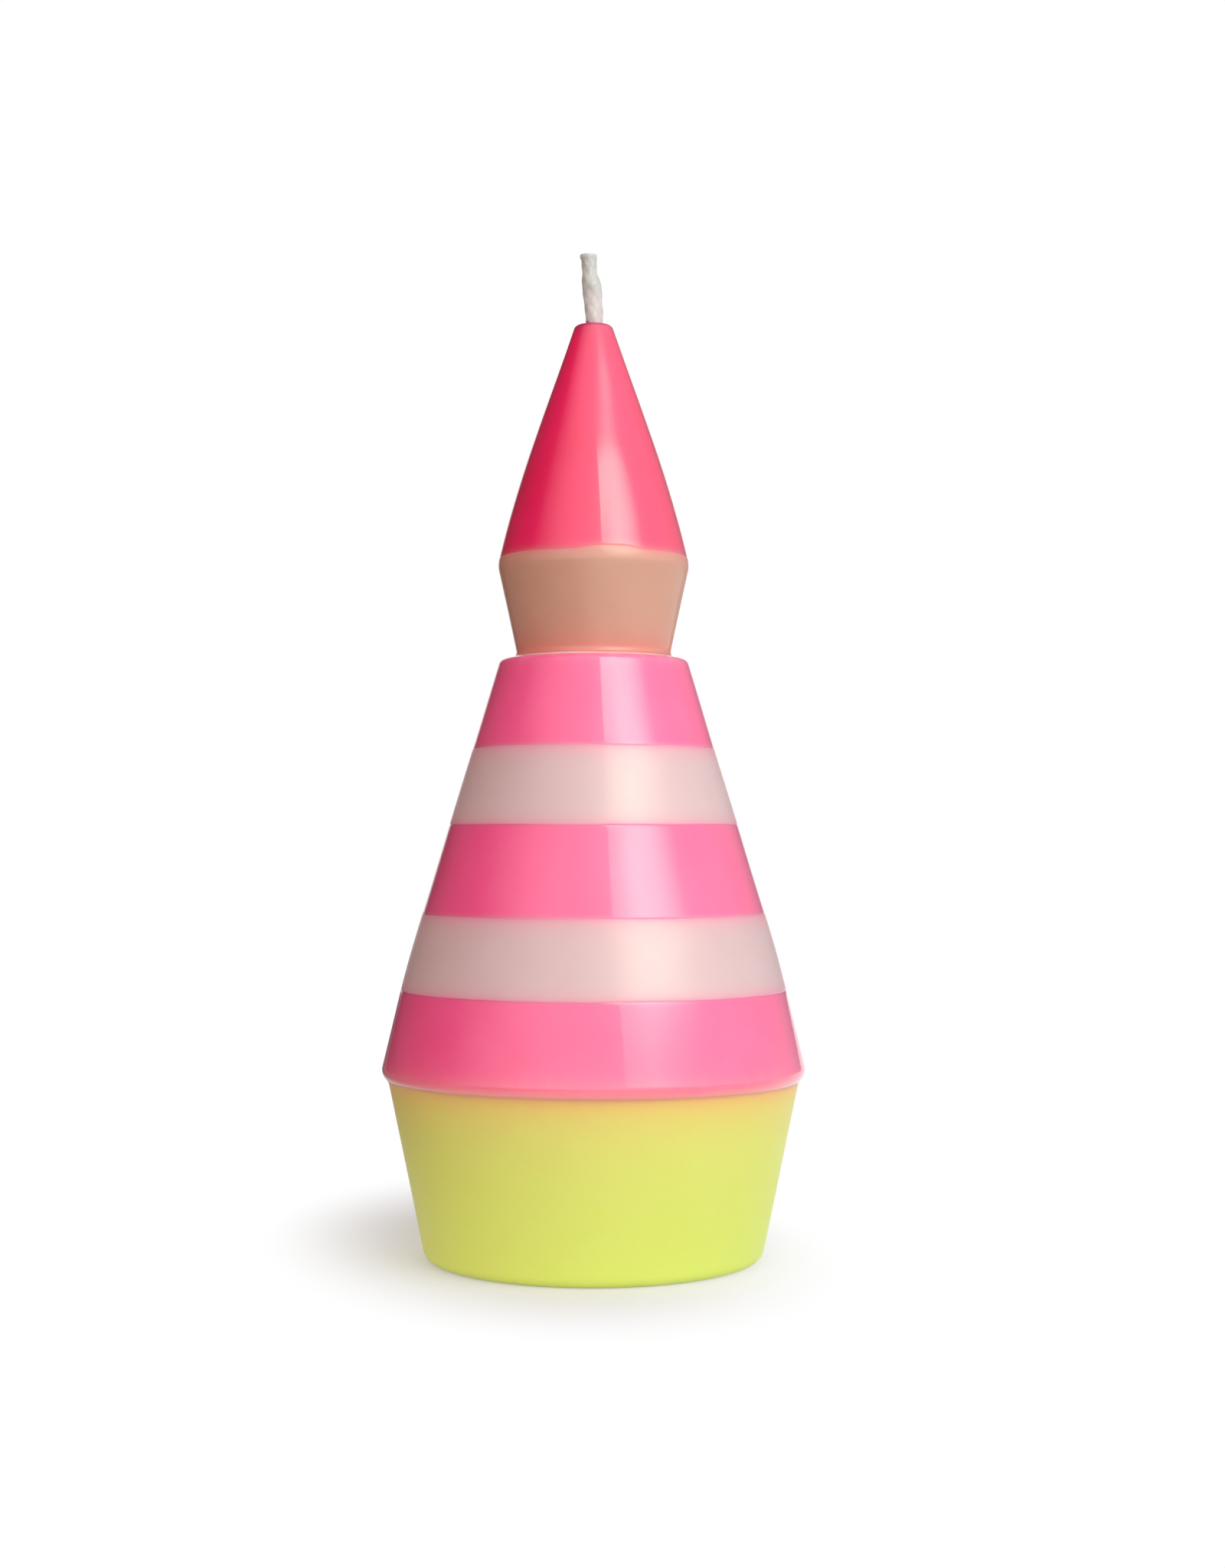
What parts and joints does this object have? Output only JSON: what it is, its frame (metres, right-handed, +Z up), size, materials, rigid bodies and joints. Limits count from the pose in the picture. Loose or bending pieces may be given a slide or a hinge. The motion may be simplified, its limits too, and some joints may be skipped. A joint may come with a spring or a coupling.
{
  "type": "cone pillar candle",
  "caption": "Poured wax candle in coloured bands: a cone hat on a narrow neck, a striped cone body with an overhanging rim, and a tapered base, on a braided cotton wick.",
  "frame": {"origin": "centre of the flat foot that the candle stands on", "axes": "+Z up along the straight part of the wick, +X to the right as seen from the front; the wick's exposed end leans towards -X"},
  "size_m": [0.07, 0.07, 0.1667],
  "materials": {
    "coral_wax": "gloss",
    "beige_wax": "satin",
    "pink_wax": "gloss",
    "white_wax": "gloss",
    "lime_wax": "satin",
    "waxed_cotton": "matte",
    "tinned_steel": "satin"
  },
  "bodies": {
    "root": {"hat": "coral_wax", "neck": "beige_wax", "upper_pink_band": "pink_wax", "upper_white_band": "white_wax", "middle_pink_band": "pink_wax", "lower_white_band": "white_wax", "lower_pink_band": "pink_wax", "base": "lime_wax", "wick": "waxed_cotton", "wick_sustainer": "tinned_steel"}
  },
  "joints": []
}
